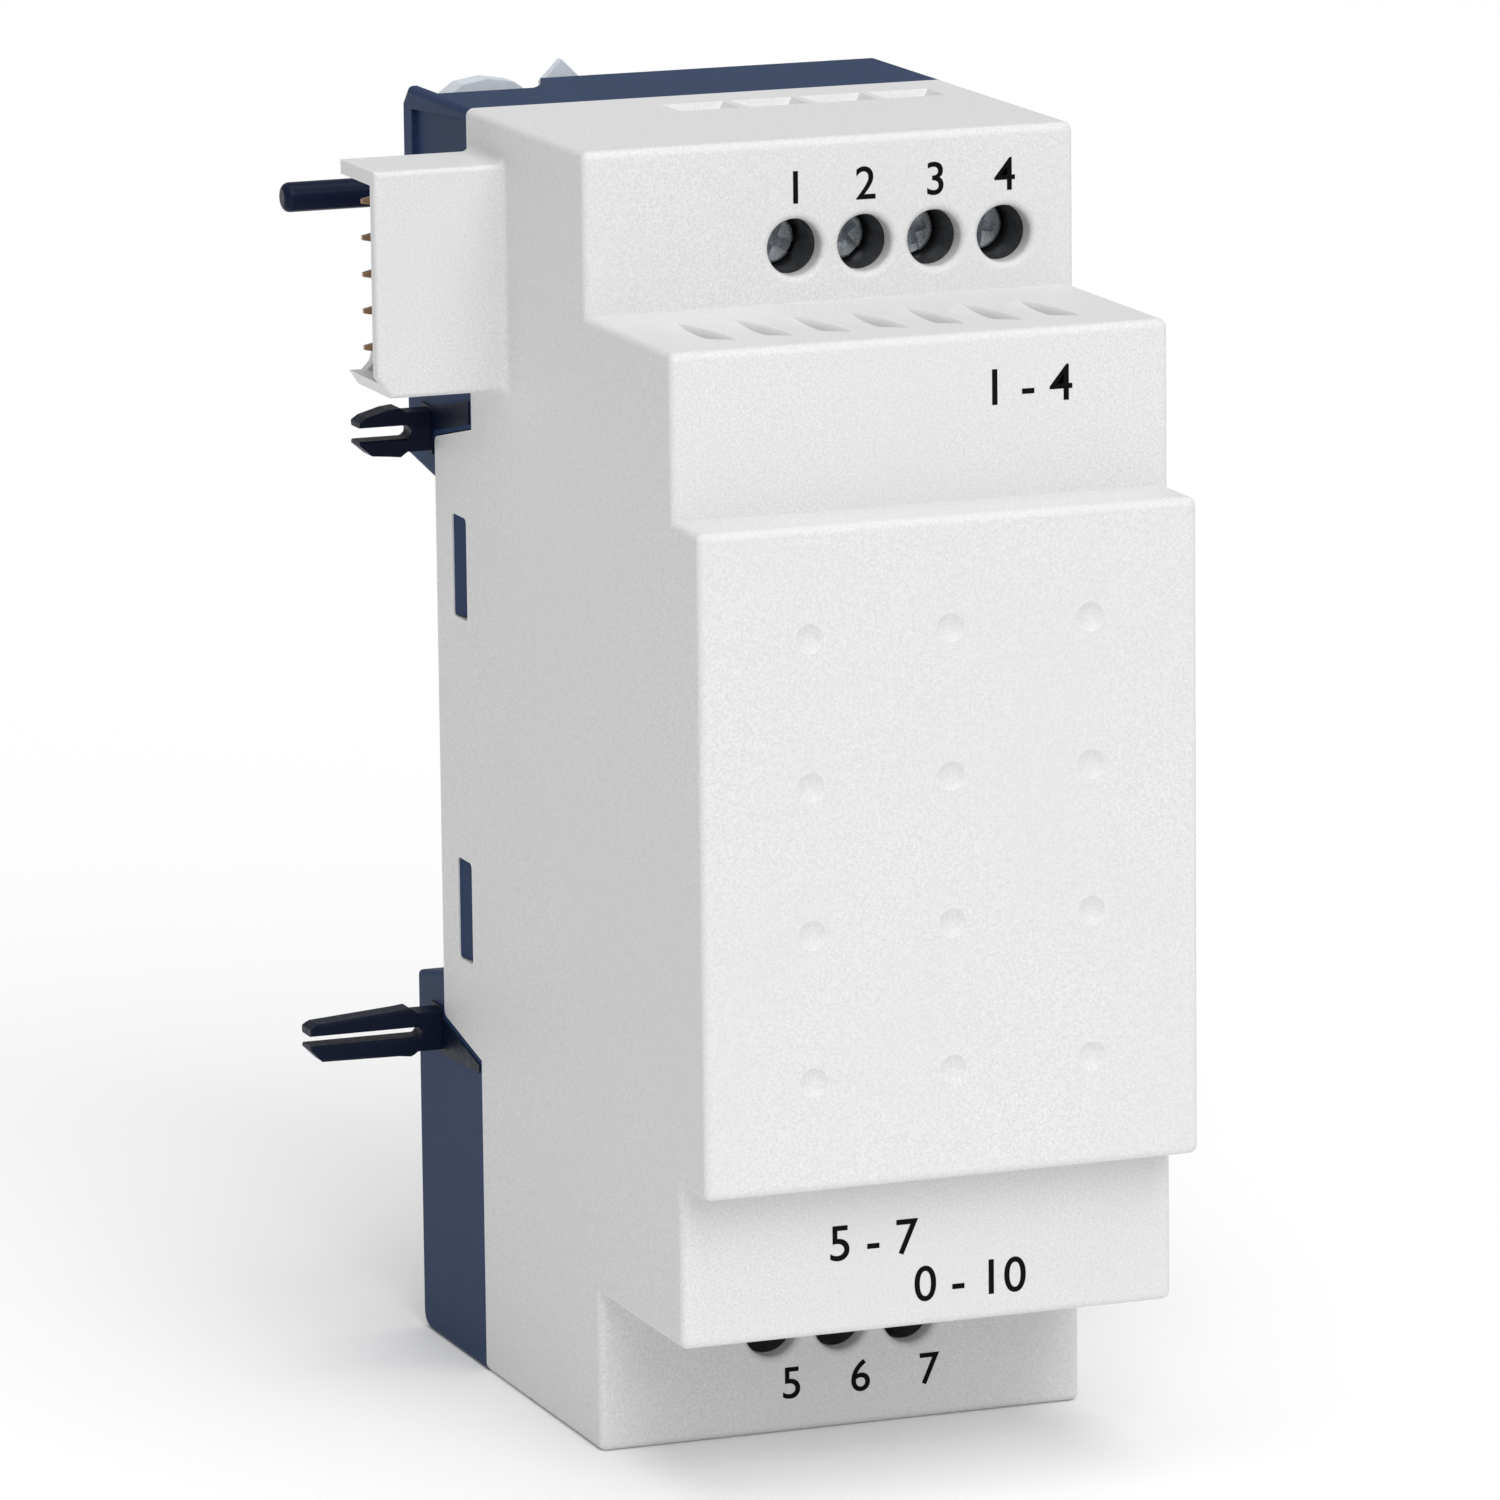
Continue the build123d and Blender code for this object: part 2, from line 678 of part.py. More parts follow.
def make_terminal_block(places):
    """The insulating body of one row of screw terminals, as it stands at the top."""
    low = (min(places) - block_end_margin, block_front_y, block_low_z)
    high = (max(places) + block_end_margin, block_back_y, block_high_z)
    head_seat_y = head_front_y + head_height + channel_gap
    channel_x = cage_size[0] / 2 + channel_gap
    channel_z = cage_size[2] / 2 + 2 * channel_gap
    wire_y = (bar_front_y + bar_thickness, cage_back_y - cage_back_wall)
    wire_x = entry_throat[0] / 2
    with BuildPart() as block:
        box_between(low, high)
        chamfer(block.edges().filter_by(Axis.X).group_by(Axis.Y)[0], 0.3)
        for x in places:
            with Locations(Location((x, (block_front_y + head_seat_y) / 2, screw_z), (90, 0, 0))):
                Cylinder(screw_hole_radius, head_seat_y - block_front_y, mode=Mode.SUBTRACT)
            with Locations(Location((x, (head_seat_y + cage_channel_y) / 2, screw_z), (90, 0, 0))):
                Cylinder(shank_radius + 0.1, cage_channel_y - head_seat_y, mode=Mode.SUBTRACT)
            cuts = [
                # the cage's channel
                (
                    (x - channel_x, cage_channel_y, screw_z - channel_z),
                    (x + channel_x, cage_back_y + 0.4, screw_z + channel_z),
                ),
                # the wire's way in, and room below the cage for its end
                ((x - wire_x, wire_y[0], screw_z), (x + wire_x, wire_y[1], block_high_z + 1)),
                ((x - 1.4, wire_y[0] - 0.4, 34.0), (x + 1.4, wire_y[1], screw_z)),
                # the contact bar's slot
                (
                    (x - bar_width / 2 - 0.1, bar_front_y - 0.1, block_low_z - 1),
                    (x + bar_width / 2 + 0.1, bar_front_y + bar_thickness + 0.1, screw_z),
                ),
            ]
            for near, far in cuts:
                box_between(near, far, mode=Mode.SUBTRACT)
    return block.part


def make_contact_bars(places):
    """One bent bar for each terminal: up through the cage, and back to the main board."""
    with BuildPart() as bars:
        for x in places:
            low = (x - bar_width / 2, bar_front_y, bar_low_z)
            foot_top_z = bar_low_z + bar_thickness
            box_between(low, (x + bar_width / 2, bar_front_y + bar_thickness, bar_high_z))
            box_between(low, (x + bar_width / 2, -12.0, foot_top_z))
            box_between((x - tail_width / 2, -12.5, bar_low_z), (x + tail_width / 2, tail_end_y, foot_top_z))
    return bars.part


with BuildPart() as screw:
    with Locations(Location((0, head_front_y + head_height / 2, 0), (90, 0, 0))):
        Cylinder(head_radius, head_height)
    head_rim = screw.edges().filter_by(GeomType.CIRCLE).sort_by(Axis.Y)[0]
    fillet(head_rim, 0.25)
    shank_start_y = head_front_y + head_height
    with Locations(Location((0, (shank_start_y + shank_end_y) / 2, 0), (90, 0, 0))):
        Cylinder(shank_radius, shank_end_y - shank_start_y)
    shank_rim = screw.edges().filter_by(GeomType.CIRCLE).sort_by(Axis.Y)[-1]
    chamfer(shank_rim, 0.3)
    # combination recess: a full slot, and a deeper cross in the middle
    slot_half = recess_width / 2
    box_between((-2, head_front_y - 1, -slot_half), (2, head_front_y + 0.5, slot_half), mode=Mode.SUBTRACT)
    for turn in (0, 90):
        with Locations(Location((0, head_front_y, 0), (0, turn, 0))):
            Box(cross_width, 2 * cross_depth, recess_width, mode=Mode.SUBTRACT)

with BuildPart() as cage:
    cage_middle_y = cage_front_y + cage_size[1] / 2
    with Locations((0, cage_middle_y, 0)):
        Box(*cage_size)
    chamfer(cage.edges().filter_by(Axis.Z), 0.2)
    box_between(
        (-cage_window_x, cage_front_y + cage_front_wall, -cage_size[2]),
        (cage_window_x, cage_back_y - cage_back_wall, cage_size[2]),
        mode=Mode.SUBTRACT,
    )
    with Locations(Location((0, cage_front_y, 0), (90, 0, 0))):
        Cylinder(shank_radius + thread_gap, 3 * cage_front_wall, mode=Mode.SUBTRACT)

upside_down = Plane.XY
input_block = make_terminal_block(input_x)
output_block = make_terminal_block(output_x).mirror(upside_down)
finish(input_block, "input_terminal_block")
finish(output_block, "output_terminal_block")
finish(make_contact_bars(input_x), "input_contact_bars")
finish(make_contact_bars(output_x).mirror(upside_down), "output_contact_bars")

terminal_places = [(x, screw_z) for x in input_x] + [(x, -screw_z) for x in output_x]
for number, (x, z) in enumerate(terminal_places, start=1):
    head_turn = 25 * number
    screw_place = Location((x, 0, z), (0, head_turn, 0))
    finish(screw.part.moved(screw_place), f"terminal_screw_{number}")
    finish(cage.part.moved(Location((x, 0, z))), f"terminal_cage_{number}")


# ---------------------------------------------------------------- bus connector
bus_places = [bus_z + (i - (bus_count - 1) / 2) * bus_pitch for i in range(bus_count)]

with BuildPart() as bus_contacts:
    for z in bus_places:
        box_between(
            (bus_tip_x + bus_point_length, bus_y - bus_pin / 2, z - bus_pin / 2),
            (bus_tail_x + bus_pin / 2, bus_y + bus_pin / 2, z + bus_pin / 2),
        )
        with BuildSketch(Plane.YZ.offset(bus_tip_x + bus_point_length)):
            with Locations((bus_y, z)):
                Rectangle(bus_pin, bus_pin)
        with BuildSketch(Plane.YZ.offset(bus_tip_x)):
            with Locations((bus_y, z)):
                Rectangle(0.3, 0.3)
        loft()
        tail_low = (bus_tail_x - bus_tail / 2, bus_y, z - bus_tail / 2)
        box_between(tail_low, (bus_tail_x + bus_tail / 2, tail_end_y, z + bus_tail / 2))
finish(bus_contacts.part, "bus_contacts")

with BuildPart() as bus_body:
    body_low, body_high = zip(connector_x, connector_y, connector_z)
    box_between(body_low, body_high)
    chamfer(bus_body.faces().sort_by(Axis.X)[0].edges(), 0.3)
    add(bus_contacts.part, mode=Mode.SUBTRACT)
finish(bus_body.part, "bus_connector_body")


# ---------------------------------------------------------------- circuit boards
header_pins = 8
header_pitch = 2.54
header_x = -12.0
header_z = -8.0
header_pin_size = 0.64
pin_spots = [
    (header_x + (row - 0.5) * header_pitch, header_z + (i - (header_pins - 1) / 2) * header_pitch)
    for row in range(2)
    for i in range(header_pins)
]

with BuildPart() as header_contacts:
    pin_length = tail_end_y - signal_board_y + 1.2
    for x, z in pin_spots:
        with Locations((x, tail_end_y - pin_length / 2, z)):
            Box(header_pin_size, pin_length, header_pin_size)
finish(header_contacts.part, "board_header_pins")

with BuildPart() as header_body:
    header_size = (2 * header_pitch, 2.5, header_pins * header_pitch)
    for y in (board_front_y - header_size[1] / 2, signal_board_y + board_thickness + header_size[1] / 2):
        with Locations((header_x, y, header_z)):
            Box(*header_size)
    add(header_contacts.part, mode=Mode.SUBTRACT)
finish(header_body.part, "board_header_bodies")

tail_z = bar_low_z + bar_thickness / 2
tail_spots = [(x, tail_z) for x in input_x] + [(x, -tail_z) for x in output_x]

with BuildPart() as main_board:
    board_middle_y = board_front_y + board_thickness / 2
    with Locations((0, board_middle_y, 0)):
        Box(main_board_size[0], board_thickness, main_board_size[1])
    fillet(main_board.edges().filter_by(Axis.Y), 1.0)
    drills = [(pin_spots, 0.5), ([(bus_tail_x, z) for z in bus_places], 0.5), (tail_spots, 0.7)]
    for spots, radius in drills:
        with Locations(*[Location((x, board_middle_y, z), (90, 0, 0)) for x, z in spots]):
            Cylinder(radius, 2 * board_thickness, mode=Mode.SUBTRACT)
finish(main_board.part, "main_board")

with BuildPart() as signal_board:
    signal_middle_y = signal_board_y + board_thickness / 2
    with Locations((0, signal_middle_y, 0)):
        Box(signal_board_size[0], board_thickness, signal_board_size[1])
    fillet(signal_board.edges().filter_by(Axis.Y), 1.0)
    with Locations(*[Location((x, signal_middle_y, z), (90, 0, 0)) for x, z in pin_spots]):
        Cylinder(0.5, 2 * board_thickness, mode=Mode.SUBTRACT)
finish(signal_board.part, "signal_board")


# ---------------------------------------------------------------- electronic components
def chip(places, size, face_y, lead_pitch, leads):
    """Flat packages standing off a board's front face, each with a row of leads at both long sides."""
    with BuildPart() as chips:
        for x, z in places:
            with Locations((x, face_y - size[1] / 2 - 0.15, z)):
                Box(size[0], size[1], size[2])
        chamfer(chips.faces().sort_by(Axis.Y)[: len(places)].edges(), 0.15)
        for x, z in places:
            for side in (-1, 1):
                for i in range(leads):
                    lead_z = z + (i - (leads - 1) / 2) * lead_pitch
                    with Locations((x + side * (size[0] / 2 + 0.3), face_y - 0.25, lead_z)):
                        Box(1.0, 0.5, 0.4 * lead_pitch)
    return chips.part


def chip_resistors(places, size, face_y):
    """Small square-ended parts soldered flat on a board's front face."""
    with BuildPart() as pieces:
        for x, z in places:
            with Locations((x, face_y - size[1] / 2, z)):
                Box(*size)
    return pieces.part


controller_spots = [(2.0, 6.0)]
converter_spots = [(4.0, 21.0), (4.0, -14.0)]
optocoupler_spots = [(-3.0, -24.0), (4.0, -24.0), (11.0, -24.0)]
resistor_spots = [(x, z) for z in (28.0, -26.0) for x in (-9, -6, -3, 0, 3, 6, 9)]
capacitor_spots = [(x, z) for x in (11.5, -6.5) for z in (-4.0, 4.0, 12.0, 18.0)]
controller = chip(controller_spots, (10.0, 1.4, 10.0), signal_board_y, 0.8, 11)
converters = chip(converter_spots, (5.0, 1.5, 6.2), signal_board_y, 1.27, 4)
optocouplers = chip(optocoupler_spots, (4.6, 3.2, 6.0), board_front_y, 2.54, 2)
finish(controller, "microcontroller")
finish(converters, "converter_chips")
finish(optocouplers, "optocouplers")
finish(chip_resistors(resistor_spots, (1.6, 0.5, 3.0), signal_board_y), "smd_resistors")
finish(chip_resistors(capacitor_spots, (2.0, 1.1, 1.3), signal_board_y), "smd_capacitors")

can_spots = ((11.0, 22.0), (1.5, 22.0))
can_radius = 4.0
can_height = 12.0
with BuildPart() as capacitors:
    for x, z in can_spots:
        with Locations(Location((x, board_front_y - can_height / 2, z), (90, 0, 0))):
            Cylinder(can_radius, can_height)
    fillet(capacitors.edges().filter_by(GeomType.CIRCLE).group_by(Axis.Y)[0], 0.6)
finish(capacitors.part, "electrolytic_capacitors")

transformer_spot = (3.0, 2.0)
transformer_base = (16.0, 3.0, 16.0)
core_size = (14.0, 7.0, 9.0)
winding_size = (8.0, 5.0, 15.0)
with BuildPart() as transformer:
    spot_x, spot_z = transformer_spot
    core_y = board_front_y - transformer_base[1] - core_size[1] / 2
    with Locations((spot_x, board_front_y - transformer_base[1] / 2, spot_z)):
        Box(*transformer_base)
    with Locations((spot_x, core_y, spot_z)):
        Box(*core_size)
        Box(*winding_size)
finish(transformer.part, "isolation_transformer")

choke_spot = (-8.0, 24.0)
choke_height = 5.0
with BuildPart() as choke:
    with Locations(Location((choke_spot[0], board_front_y - choke_height / 2, choke_spot[1]), (90, 0, 0))):
        Cylinder(3.6, choke_height)
        Cylinder(3.9, choke_height - 1.6)
finish(choke.part, "filter_choke")

crystal_spot = (11.0, -10.5)
crystal_size = (3.6, 3.0, 9.0)
with BuildPart() as crystal:
    with Locations((crystal_spot[0], signal_board_y - crystal_size[1] / 2, crystal_spot[1])):
        Box(*crystal_size)
    fillet(crystal.edges().filter_by(Axis.Y), 1.6)
finish(crystal.part, "quartz_crystal")
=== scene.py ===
"""Looks for the rail-mounted analogue extension module: materials, print, floor, light and camera.

Everything is in metres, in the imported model's own frame: -Y is the front, +Z is up.
"""

import json
import math

import bpy
from mathutils import Matrix, Quaternion, Vector


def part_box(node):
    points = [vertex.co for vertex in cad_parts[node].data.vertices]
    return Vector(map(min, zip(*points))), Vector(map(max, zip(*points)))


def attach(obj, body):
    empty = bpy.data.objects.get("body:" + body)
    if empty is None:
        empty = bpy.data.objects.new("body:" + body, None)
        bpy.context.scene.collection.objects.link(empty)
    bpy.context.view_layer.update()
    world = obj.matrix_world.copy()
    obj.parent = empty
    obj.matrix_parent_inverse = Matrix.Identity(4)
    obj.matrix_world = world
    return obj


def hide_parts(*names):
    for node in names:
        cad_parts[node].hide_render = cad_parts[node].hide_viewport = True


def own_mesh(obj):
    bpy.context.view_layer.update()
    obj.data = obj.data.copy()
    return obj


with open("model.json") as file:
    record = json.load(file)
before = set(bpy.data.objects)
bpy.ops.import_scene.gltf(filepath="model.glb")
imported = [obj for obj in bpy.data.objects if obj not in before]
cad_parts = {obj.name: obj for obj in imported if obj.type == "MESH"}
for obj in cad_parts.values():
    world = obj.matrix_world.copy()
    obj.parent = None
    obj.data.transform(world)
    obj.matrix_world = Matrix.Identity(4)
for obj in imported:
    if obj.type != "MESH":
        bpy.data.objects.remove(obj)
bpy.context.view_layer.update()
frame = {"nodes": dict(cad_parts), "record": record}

MM = 0.001

# how far a bevelled normal has turned from the true one where an edge's mask is full, and where it starts;
# the mask places the painted edge highlights
edge_full_dot, edge_start_dot = 0.65, 0.995

# the vent scoops' flanks, darkened by painted shade: which way they face, their distance from mid height,
# their half width, and the painted shade's darkening factor
flank_normal_x = (-0.85, -0.5)
flank_z = (33.0 * MM, 33.4 * MM)
flank_half_width = 16.9 * MM
flank_shade = 0.68

# the guide pin starts here, left of the base's side
pin_full_x, pin_start_x = -17.85 * MM, -17.75 * MM


# ---------------------------------------------------------------- node helpers
class Shader:
    """A Principled material under construction, with short calls for its nodes."""

    def __init__(self, name):
        self.material = bpy.data.materials.new(name)
        self.material.use_nodes = True
        self.nodes = self.material.node_tree.nodes
        self.links = self.material.node_tree.links
        self.principled = self.nodes["Principled BSDF"]
        self.place = self.nodes.new("ShaderNodeTexCoord").outputs["Object"]

    def link(self, output, node_input):
        self.links.new(output, node_input)

    def noise(self, size, detail=2.0, stretch=(1, 1, 1), roughness=0.5):
        """Noise whose features are about size metres across; stretch lengthens them along an axis."""
        mapping = self.nodes.new("ShaderNodeMapping")
        mapping.inputs["Scale"].default_value = [1 / (size * s) for s in stretch]
        self.link(self.place, mapping.inputs["Vector"])
        noise = self.nodes.new("ShaderNodeTexNoise")
        noise.inputs["Scale"].default_value = 1.0
        noise.inputs["Detail"].default_value = detail
        noise.inputs["Roughness"].default_value = roughness
        self.link(mapping.outputs["Vector"], noise.inputs["Vector"])
        return noise.outputs["Fac"]

    def ranged(self, value, low, high, start=0.3, end=0.7):
        """Maps a value between start and end to low and high, and clamps it."""
        node = self.nodes.new("ShaderNodeMapRange")
        node.inputs["From Min"].default_value = start
        node.inputs["From Max"].default_value = end
        node.inputs["To Min"].default_value = low
        node.inputs["To Max"].default_value = high
        self.link(value, node.inputs["Value"])
        return node.outputs["Result"]

    def mixed(self, factor, first, second):
        """Mixes two colours, each a tuple or another node's output."""
        node = self.nodes.new("ShaderNodeMix")
        node.data_type = "RGBA"
        colour_inputs = [s for s in node.inputs if s.type == "RGBA"]
        for given, socket in ((first, colour_inputs[0]), (second, colour_inputs[1])):
            if isinstance(given, tuple):
                socket.default_value = (*given, 1.0)
            else:
                self.link(given, socket)
        self.link(factor, node.inputs[0])
        return next(s for s in node.outputs if s.type == "RGBA")

    def maths(self, operation, first, second=None):
        """The result of one Math node on one or two values."""
        node = self.nodes.new("ShaderNodeMath")
        node.operation = operation
        self.link(first, node.inputs[0])
        if second is not None:
            self.link(second, node.inputs[1])
        return node.outputs["Value"]

    def parts_of(self, vector):
        """The X, Y and Z of a vector."""
        node = self.nodes.new("ShaderNodeSeparateXYZ")
        self.link(vector, node.inputs["Vector"])
        return node.outputs

    def between(self, value, low, high, blur):
        """1 where the value lies between low and high, fading to 0 over the blur on both sides."""
        above = self.ranged(value, 0.0, 1.0, low - blur, low)
        below = self.ranged(value, 1.0, 0.0, high, high + blur)
        return self.maths("MULTIPLY", above, below)

    def edges(self, radius):
        """1 along edges of either kind, 0 on flat surfaces."""
        bevel = self.nodes.new("ShaderNodeBevel")
        bevel.samples = 4
        bevel.inputs["Radius"].default_value = radius
        geometry = self.nodes.new("ShaderNodeNewGeometry")
        dot = self.nodes.new("ShaderNodeVectorMath")
        dot.operation = "DOT_PRODUCT"
        self.link(bevel.outputs["Normal"], dot.inputs[0])
        self.link(geometry.outputs["Normal"], dot.inputs[1])
        return self.ranged(dot.outputs["Value"], 1.0, 0.0, edge_full_dot, edge_start_dot)

    def bump(self, height, depth):
        """Raises the surface by the height value times depth metres."""
        node = self.nodes.new("ShaderNodeBump")
        node.inputs["Strength"].default_value = 1.0
        node.inputs["Distance"].default_value = depth
        self.link(height, node.inputs["Height"])
        return node.outputs["Normal"]

    def set(self, **values):
        """Sets or links the shader's own sockets, by their names with _ for spaces."""
        for name, value in values.items():
            socket = self.principled.inputs[name.replace("_", " ")]
            if isinstance(value, bpy.types.NodeSocket):
                self.link(value, socket)
            elif isinstance(value, tuple):
                socket.default_value = (*value, 1.0)
            else:
                socket.default_value = value


def tinted(colour, amount):
    """A colour made lighter or darker by a factor."""
    return tuple(min(1.0, c * amount) for c in colour)


# ---------------------------------------------------------------- materials
def housing_plastic(name, colour, roughness):
    """Light spark-eroded plastic: visible fine grain, edges lightened as a painted highlight, and painted
    shade darkening the vent scoops' flanks.
    """
    s = Shader(name)
    fine = s.noise(0.17 * MM, detail=2.0, roughness=0.7)
    clouds = s.noise(14 * MM, detail=2.0)
    speckled = s.mixed(s.ranged(fine, 0.0, 1.0), tinted(colour, 0.88), tinted(colour, 1.12))
    clouded = s.mixed(s.ranged(clouds, 0.0, 0.5), speckled, tinted(colour, 0.975))
    # painted highlight: the colour is lightened along the edges
    edged = s.mixed(s.edges(0.3 * MM), clouded, tinted(colour, 1.12))
    # painted shade: the vent scoops' left-facing flanks on both shelves are darkened
    place = s.parts_of(s.place)
    normal = s.parts_of(s.nodes.new("ShaderNodeNewGeometry").outputs["Normal"])
    facing_left = s.between(normal["X"], *flank_normal_x, 0.1)
    shelf_depth = s.between(s.maths("ABSOLUTE", place["Z"]), *flank_z, 0.45 * MM)
    inner = s.between(place["X"], -flank_half_width, flank_half_width, 0.1 * MM)
    flank = s.maths("MULTIPLY", s.maths("MULTIPLY", facing_left, shelf_depth), inner)
    s.set(Base_Color=s.mixed(flank, edged, tinted(colour, flank_shade)))
    s.set(Roughness=s.ranged(s.noise(0.2 * MM, detail=2.0), roughness - 0.06, roughness + 0.06))
    s.set(Normal=s.bump(fine, 0.014 * MM), Specular_IOR_Level=0.35)
    return s.material


def grained_plastic(name, colour, roughness, grain=0.35 * MM, contrast=0.04, edge_highlight=1.12):
    """Injection-moulded plastic: fine spark-eroded grain, faint clouds of colour, and edges lightened as a
    painted highlight.
    """
    s = Shader(name)
    fine = s.noise(grain, detail=3.0, roughness=0.65)
    clouds = s.noise(14 * MM, detail=2.0)
    darker, lighter = tinted(colour, 1 - contrast), tinted(colour, 1 + contrast)
    speckled = s.mixed(s.ranged(fine, 0.0, 1.0), darker, lighter)
    clouded = s.mixed(s.ranged(clouds, 0.0, 0.5), speckled, tinted(colour, 1 - 0.6 * contrast))
    # painted highlight: the colour is lightened along the edges
    rim = s.edges(0.25 * MM)
    s.set(Base_Color=s.mixed(rim, clouded, tinted(colour, edge_highlight)))
    s.set(Roughness=s.ranged(s.noise(0.6 * grain, detail=2.0), roughness - 0.06, roughness + 0.06))
    s.set(Normal=s.bump(fine, 0.012 * MM), Specular_IOR_Level=0.4)
    return s.material


def base_plastic(name, colour, pin_colour, roughness):
    """Dark grained plastic, whose guide pin beyond the left side is polished and darker."""
    s = Shader(name)
    fine = s.noise(0.35 * MM, detail=3.0, roughness=0.65)
    clouds = s.noise(9 * MM, detail=2.0)
    speckled = s.mixed(s.ranged(fine, 0.0, 1.0), tinted(colour, 0.86), tinted(colour, 1.14))
    clouded = s.mixed(s.ranged(clouds, 0.0, 0.5), speckled, tinted(colour, 0.9))
    # painted highlight: the colour is lightened along the edges
    edged = s.mixed(s.edges(0.25 * MM), clouded, tinted(colour, 1.5))
    on_pin = s.ranged(s.parts_of(s.place)["X"], 1.0, 0.0, pin_full_x, pin_start_x)
    s.set(Base_Color=s.mixed(on_pin, edged, pin_colour))
    s.set(Roughness=s.ranged(on_pin, roughness, 0.22, 0.0, 1.0))
    s.set(Normal=s.bump(fine, 0.012 * MM), Specular_IOR_Level=0.06)
    return s.material


def smooth_plastic(name, colour, roughness, edge_highlight=1.3, specular=0.45):
    """Smoother moulded plastic with faint flow marks and scuffs."""
    s = Shader(name)
    flow = s.noise(2.2 * MM, detail=4.0, stretch=(3, 1, 1))
    scuffs = s.noise(0.5 * MM, detail=5.0, roughness=0.7)
    body = s.mixed(s.ranged(flow, 0.0, 1.0), tinted(colour, 0.9), tinted(colour, 1.1))
    # painted highlight: the colour is lightened along the edges
    s.set(Base_Color=s.mixed(s.edges(0.2 * MM), body, tinted(colour, edge_highlight)))
    s.set(Roughness=s.ranged(scuffs, roughness - 0.08, roughness + 0.1))
    s.set(Normal=s.bump(scuffs, 0.004 * MM), Specular_IOR_Level=specular)
    return s.material


def metal(name, colour, roughness, brushed=(1, 1, 1), stain=0.75, metallic=1.0):
    """Plated or drawn metal with stains, fine scratches along one direction, and edges lightened as a painted
    highlight.
    """
    s = Shader(name)
    stains = s.noise(0.9 * MM, detail=4.0, roughness=0.6)
    scratches = s.noise(0.08 * MM, detail=3.0, stretch=brushed)
    body = s.mixed(s.ranged(stains, 0.0, 1.0), tinted(colour, stain), colour)
    # painted highlight: the colour is lightened along the edges
    s.set(Base_Color=s.mixed(s.edges(0.12 * MM), body, tinted(colour, 1.25)), Metallic=metallic)
    s.set(Roughness=s.ranged(scratches, roughness - 0.1, roughness + 0.12))
    s.set(Normal=s.bump(scratches, 0.003 * MM))
    return s.material


def board_laminate(name):
    """Green solder mask over copper tracks and a woven glass laminate."""
    s = Shader(name)
    mask, copper = (0.012, 0.085, 0.04), (0.03, 0.16, 0.07)
    tracks = s.nodes.new("ShaderNodeTexBrick")
    tracks.inputs["Scale"].default_value = 1 / (16 * MM)
    tracks.inputs["Mortar Size"].default_value = 0.012
    tracks.inputs["Color1"].default_value = (0, 0, 0, 1)
    tracks.inputs["Color2"].default_value = (0, 0, 0, 1)
    tracks.inputs["Mortar"].default_value = (1, 1, 1, 1)
    turned = s.nodes.new("ShaderNodeMapping")
    turned.inputs["Rotation"].default_value = (math.radians(90), 0, 0)
    s.link(s.place, turned.inputs["Vector"])
    s.link(turned.outputs["Vector"], tracks.inputs["Vector"])
    weave = s.noise(0.5 * MM, detail=2.0, stretch=(2, 1, 2))
    base = s.mixed(s.ranged(weave, 0.0, 1.0), tinted(mask, 0.85), tinted(mask, 1.15))
    s.set(Base_Color=s.mixed(tracks.outputs["Color"], base, copper))
    s.set(Roughness=s.ranged(weave, 0.25, 0.4), Normal=s.bump(tracks.outputs["Color"], 0.03 * MM))
    return s.material


def printed_ink(name):
    """Black pad-printed ink, with pinholes and a slightly uneven edge-to-edge gloss."""
    s = Shader(name)
    pinholes = s.noise(0.12 * MM, detail=4.0, roughness=0.7)
    solid, thin = (0.002, 0.002, 0.002), (0.02, 0.02, 0.02)
    s.set(Base_Color=s.mixed(s.ranged(pinholes, 0.0, 1.0, 0.68, 0.8), solid, thin))
    s.set(Roughness=s.ranged(pinholes, 0.55, 0.7), Specular_IOR_Level=0.08)
    s.set(Normal=s.bump(pinholes, 0.003 * MM))
    return s.material


